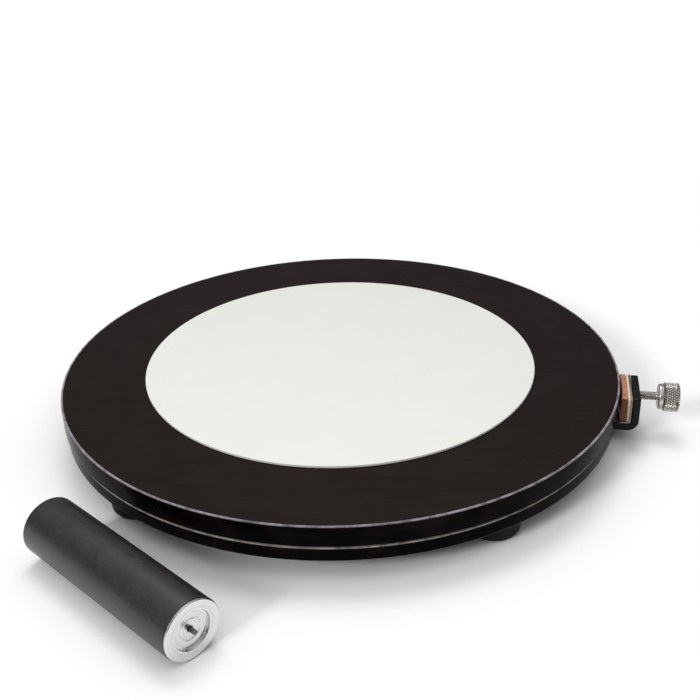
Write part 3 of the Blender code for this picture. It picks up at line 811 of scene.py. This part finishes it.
# ----------------------------------------------------------------- thumb screw
# local +Z points out of the bracket; 10-32 thread, right-hand
k0 = 13.7
pitch = 0.79375
shank_thread = thread(2.4, 1.85, pitch, 0.15, 13.3)
outline = fillets([(0, -2.2, 0), (2.0, -2.2, 0.1), (2.3, -1.9, 0.1), (2.3, -1.4, 0.05),
                   (1.6, -1.4, 0.05), (1.6, -0.1, 0)], 2)
outline += [(2.401, z) for z in steps(0.0, 13.4, pitch / 12)]
outline += [(2.9, k0 - 0.02), (2.9, k0 + 0.6), (0, k0 + 0.6)]
shank = lathe("thumb_screw_shank", outline, NICKEL, 56,
              shape=lambda r, z, t: shank_thread(z, t) if abs(r - 2.401) < 1e-6 else r,
              matrix=to_screw, angle=60)
wear(shank, "thumb_screw", "nickel_steel", "thumb_screw")

KNOB_R, KNOB_L, TEETH = 7.85, 11.1, 34
z_a, z_b = k0 + 3.25, k0 + KNOB_L - 1.0
axial = TAU * KNOB_R / TEETH / math.tan(math.radians(32))   # tooth length along the axis


def knurl(r, z, t):
    if not (abs(r - KNOB_R) < 1e-6):
        return r
    u = (t / TAU * TEETH + (z - z_a) / axial) % 1.0
    v = (t / TAU * TEETH - (z - z_a) / axial) % 1.0
    h = min(abs(2 * u - 1), abs(2 * v - 1))
    h = min(1.0, h / 0.82)
    fade = min(1.0, (z - z_a) / 0.35, (z_b - z) / 0.35)
    return KNOB_R - 0.62 * (1 - h) * max(0.0, fade)


head_outline = [(3.0, k0 + 0.25), (3.6, k0 + 0.02), (6.1, k0), (6.55, k0 + 0.12), (6.82, k0 + 0.38),
                (6.9, k0 + 0.75), (6.9, k0 + 2.15), (6.80, k0 + 2.3), (6.80, k0 + 2.5),
                (6.95, k0 + 2.66), (7.35, k0 + 2.95), (7.62, k0 + 3.12)]
head_outline += [(KNOB_R, z) for z in steps(z_a, z_b, axial / 9)]
head_outline += [(7.74, z_b + 0.18), (7.50, z_b + 0.45), (7.15, z_b + 0.70), (6.75, z_b + 0.88),
                 (6.35, z_b + 0.97), (5.9, z_b + 1.0), (3.0, z_b + 1.0)]
head_outline += [(0.9, z_b + 1.0), (0.5, z_b + 0.8), (0, z_b + 0.75)]
head_outline = [(0, k0 + 0.62), (2.95, k0 + 0.62)] + head_outline
head = lathe("thumb_screw_head", head_outline, NICKEL, TEETH * 8, shape=knurl, matrix=to_screw, angle=50)
slot_cut = build("slot", [(x * MM, y * MM, z * MM) for z in (k0 + KNOB_L - 2.2, k0 + KNOB_L + 2)
                          for x, y in ((-20, -0.9), (20, -0.9), (20, 0.9), (-20, 0.9))],
                 [(0, 1, 2, 3), (7, 6, 5, 4), (0, 4, 5, 1), (1, 5, 6, 2), (2, 6, 7, 3), (3, 7, 4, 0)],
                 None, matrix=to_screw @ Matrix.Rotation(math.radians(-89), 4, 'Z'))
carve(head, slot_cut, angle=50)
wear(head, "thumb_screw", "nickel_steel")

# ---------------------------------------------------------------- centring post
PR, PL = 14.2, 105.0
to_post = (Matrix.Translation((-0.0228, -0.2036, (-32.6 + PR) * MM))
           @ Matrix.Rotation(math.radians(146.3), 4, 'Z') @ Matrix.Rotation(math.radians(90), 4, 'Y'))
sleeve = lathe("post_tube", fillets([
    (12.75, 0.75, 0.05), (13.95, 0.75, 0.1), (PR, 1.05, 0.15), (PR, PL, 1.1), (12.75, PL, 0.2)], 6)
    , OXIDE, 192, matrix=to_post)
wear(sleeve, "centring_post", "oxide_black", "post_sleeve")

core_profile = [(0, 5.4, 0), (1.4, 5.4, 0), (1.4, 1.75, 0), (1.55, 1.6, 0.05), (4.6, 1.6, 0.1),
                (4.85, 1.82, 0.08), (5.35, 1.82, 0.08), (5.6, 1.6, 0.1), (8.9, 1.6, 0.15),
                (9.2, 1.45, 0.1), (9.2, 0.22, 0.1), (9.45, 0.0, 0.08), (13.55, 0.0, 0.12),
                (14.0, 0.45, 0.06), (14.0, 0.70, 0.03), (12.7, 0.70, 0), (12.7, 104.8, 0.2), (9.0, 104.8, 0.2), (8.8, 104.6, 0.1),
                (3.0, 104.6, 0.3), (1.3, 103.0, 0.1), (0, 102.6, 0)]
core = lathe("post_core_bar", fillets(core_profile, 3), ALU, 192, matrix=to_post)
wear(core, "centring_post", "turned_aluminium", "post_core")
pin = lathe("post_centre_pin", fillets([
    (0, -2.4, 0), (0.55, -2.3, 0.15), (1.1, -1.7, 0.2), (1.1, 1.2, 0), (1.1, 5.1, 0.1), (0, 5.1, 0)], 4),
    PIN, 48, matrix=to_post)
wear(pin, "centring_post", "dark_steel", "centre_pin")

# --------------------------------------------------- CAD nodes kept as they are
for n in nodes:
    if nodes[n].hide_render:
        continue
    if n == "wheel_board":
        dress(n, CORE)
    elif n in ("upper_race", "lower_race") or n.startswith("bearing_ball"):
        dress(n, BEARING)
    elif "race_screw" in n:
        dress(n, ZINC)
    elif n == "ball_cage":
        dress(n, NYLON)
    elif n == "pivot_bush":
        dress(n, BRONZE)
    else:
        raise SystemExit("no look for " + n)

# ------------------------------------------------------------ floor and lights
floor = build("floor", [(-20, -20, -0.0327), (20, -20, -0.0327), (20, 20, -0.0327), (-20, 20, -0.0327)],
              [(0, 1, 2, 3)], make_floor())

world = bpy.data.worlds.new("studio")
scene.world = world
world.use_nodes = True
wt = world.node_tree
bg = wt.nodes["Background"]
tc = wt.nodes.new("ShaderNodeTexCoord")
sep = wt.nodes.new("ShaderNodeSeparateXYZ")
wt.links.new(tc.outputs["Generated"], sep.inputs[0])
rng = wt.nodes.new("ShaderNodeMapRange")
rng.interpolation_type = 'SMOOTHSTEP'
for k, v in (("From Min", 0.35), ("From Max", 0.92), ("To Min", 0.20), ("To Max", 1.00)):
    rng.inputs[k].default_value = v
wt.links.new(sep.outputs[2], rng.inputs["Value"])
wt.links.new(rng.outputs["Result"], bg.inputs["Strength"])
bg.inputs["Color"].default_value = (1.0, 1.0, 1.0, 1)


def sun(name, azimuth, elevation, strength, angle, colour=(1, 1, 1)):
    """A soft lamp shining from that direction (degrees, row frame)."""
    a, e = math.radians(azimuth), math.radians(elevation)
    d = Vector((math.cos(e) * math.cos(a), math.cos(e) * math.sin(a), math.sin(e)))
    L = bpy.data.lights.new(name, 'SUN')
    L.energy, L.angle, L.color = strength, math.radians(angle), colour
    ob = bpy.data.objects.new(name, L)
    ob.matrix_world = d.to_track_quat('Z', 'Y').to_matrix().to_4x4()
    scene.collection.objects.link(ob)


sun("key", -124, 30, 1.30, 14, (1.0, 0.985, 0.97))
sun("top", 105, 66, 0.70, 24, (0.98, 0.97, 1.0))

# ---------------------------------------------------------------------- camera
right = Vector((0.984311, 0.174569, -0.025644))
up = -Vector((0.057396, -0.454225, -0.889036))
back = -Vector((-0.166846, 0.873616, -0.457118))
cam_data = bpy.data.cameras.new("camera")
cam_data.lens, cam_data.sensor_width = 54.0, 36.0
cam_data.clip_start, cam_data.clip_end = 0.01, 100
cam = bpy.data.objects.new("camera", cam_data)
scene.collection.objects.link(cam)
m4 = Matrix((right, up, back)).transposed().to_4x4()
m4.translation = Vector((0.103135, -0.509405, 0.272644))
cam.matrix_world = m4
scene.camera = cam
scene.view_settings.view_transform = "Standard"
